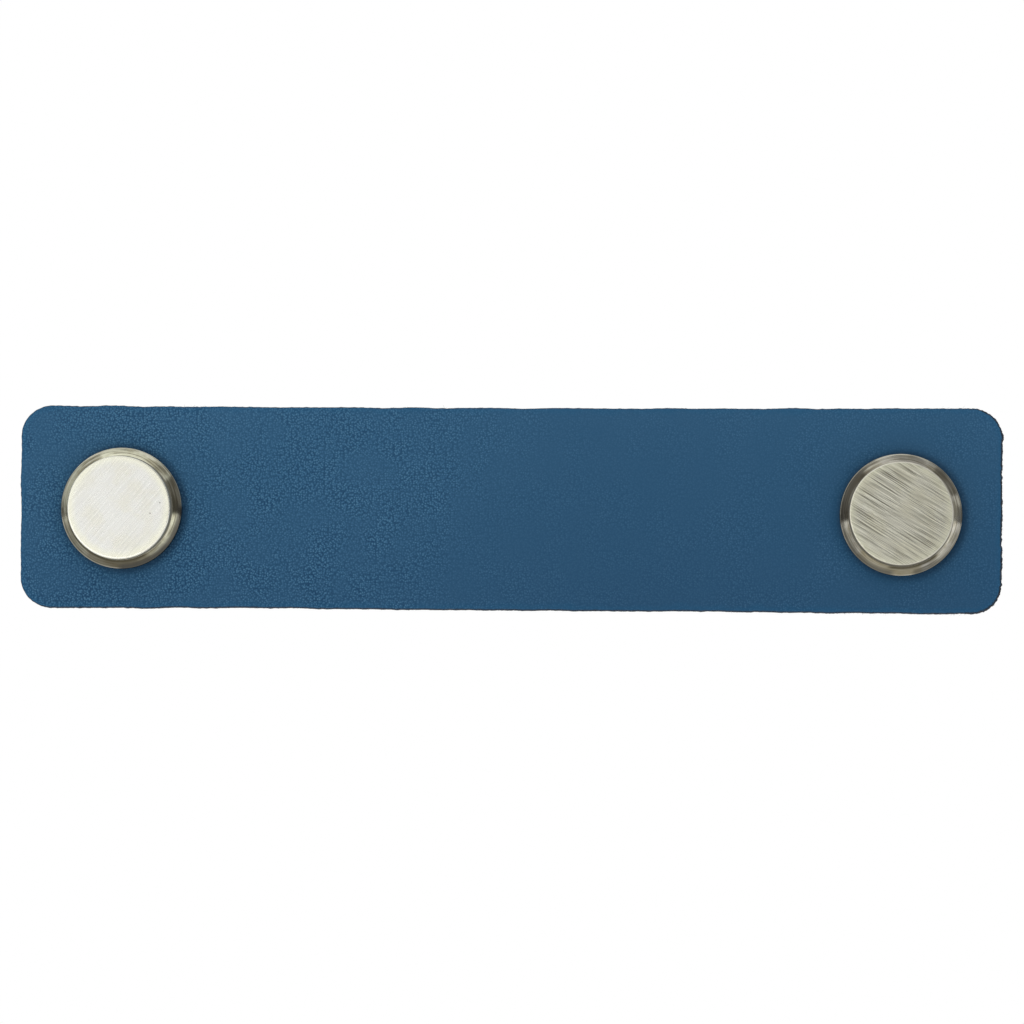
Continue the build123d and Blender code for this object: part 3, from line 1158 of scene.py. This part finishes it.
add(leather_strap(), "strap", "leather", leather_material(), "leather_strap")
add(strap_fibres(), "strap", "leather", fibre_material())
for side in SIDES:
    steel = steel_material(f"{side}_zinc_screw", (0.74, 0.75, 0.76), HEAD_X[side])
    plate = steel_material(f"{side}_zinc_washer", (0.70, 0.71, 0.72), HEAD_X[side])
    add(brass_head(side), f"{side}_head", "head_brass", brass_material(side), f"{side}_head")
    add(machine_screw(side), f"{side}_screw", "screw_steel", steel, f"{side}_screw")
    add(washer_ring(side), f"{side}_washer", "washer_steel", plate, f"{side}_washer")


# ---- floor, light and camera


WHITE = (1, 1, 1)
FLOOR_TOP = -1.03
FLOOR_BOTTOM = -1.05


def lay_floor():
    """A plain pale floor a metre under the pull, which glows more further out until it reaches the
    white of the background.
    """
    disc = Turned(0.0, 96)
    disc.tip(FLOOR_TOP)
    disc.rings([(reach, FLOOR_TOP) for reach in (1, 2.5, 5, 9, 14)])
    disc.rings([(reach, FLOOR_BOTTOM) for reach in (14, 5)])
    disc.tip(FLOOR_BOTTOM)
    points = [(x, z, y) for x, y, z in disc.points]
    floor = finished_mesh("floor", points, disc.faces)
    m = Material("pale_floor", Roughness=0.9, Specular_IOR_Level=0.2, Emission_Color=WHITE)
    place = m.where()
    cloud = m.noise(place, 3, 3)
    m.set("Base Color", m.blend(cloud, (0.88, 0.88, 0.88), (0.92, 0.92, 0.92)))
    # Painted light: the floor glows, faintly near the pull and more further out, to meet the white
    # background
    m.set("Emission Strength", m.window(m.length(place), 2.0, 8.0, 0.12, 0.6))
    floor.data.materials.append(m.made)


def soft_box(name, place, size, glow):
    """A rectangular light aimed at the pull. `glow` is how bright it looks, beside white paper."""
    width, height = size
    lamp = bpy.data.lights.new(name, "AREA")
    lamp.shape = "RECTANGLE"
    lamp.size = width
    lamp.size_y = height
    lamp.energy = glow * math.pi * width * height
    light = bpy.data.objects.new(name, lamp)
    light.location = place
    light.rotation_euler = (-Vector(place)).to_track_quat("-Z", "Y").to_euler()
    bpy.context.scene.collection.objects.link(light)


def light_studio():
    """Three soft boxes in a surround that dims towards the front and the floor.

    The camera sees the surround as plain white.
    """
    world = bpy.data.worlds.new("studio")
    world.use_nodes = True
    world.node_tree.nodes.clear()
    bpy.context.scene.world = world
    m = Nodes(world.node_tree)
    way = m.node("ShaderNodeTexCoord", {}, "Generated")
    depth = m.window(m.along(way, "Y"), -0.95, 0.1, 0.30, 0.70)
    height = m.window(m.along(way, "Z"), -0.5, 0.7, 0.30, 1.0)
    soft = m.node("ShaderNodeBackground", {"Color": WHITE, "Strength": m.times(depth, height)})
    plain = m.node("ShaderNodeBackground", {"Color": WHITE, "Strength": 1.0})
    seen = m.node("ShaderNodeLightPath", {}, "Is Camera Ray")
    surround = m.node("ShaderNodeMixShader", {0: seen, 1: soft, 2: plain})
    m.added("ShaderNodeOutputWorld", {"Surface": surround})
    soft_box("key", (-0.44, -1.15, 0.20), (0.9, 1.2), 1.0)
    soft_box("top", (-0.10, -0.55, 1.10), (1.4, 0.8), 0.53)
    soft_box("kicker", (0.62, -0.25, -0.28), (0.4, 0.5), 0.36)


def place_camera():
    """The photograph's view: almost straight on, from a little below and to the right."""
    azimuth, elevation, roll = (math.radians(angle) for angle in (3.43, -3.27, 0.69))
    aim, distance = Vector((0.155 * MM, 0, 0.157 * MM)), 0.9007
    level = math.cos(elevation)
    back = Vector((math.sin(azimuth) * level, -math.cos(azimuth) * level, math.sin(elevation)))
    lens = bpy.data.cameras.new("camera")
    lens.lens = 192.3
    lens.sensor_width = 36.0
    lens.clip_start = 0.01
    lens.clip_end = 100.0
    camera = bpy.data.objects.new("camera", lens)
    camera.location = aim + back * distance
    camera.rotation_mode = "QUATERNION"
    upright = (-back).to_track_quat("-Z", "Y")
    camera.rotation_quaternion = upright @ Quaternion((0, 0, 1), roll)
    bpy.context.scene.collection.objects.link(camera)
    bpy.context.scene.camera = camera


lay_floor()
light_studio()
place_camera()
bpy.context.scene.view_settings.view_transform = "Standard"
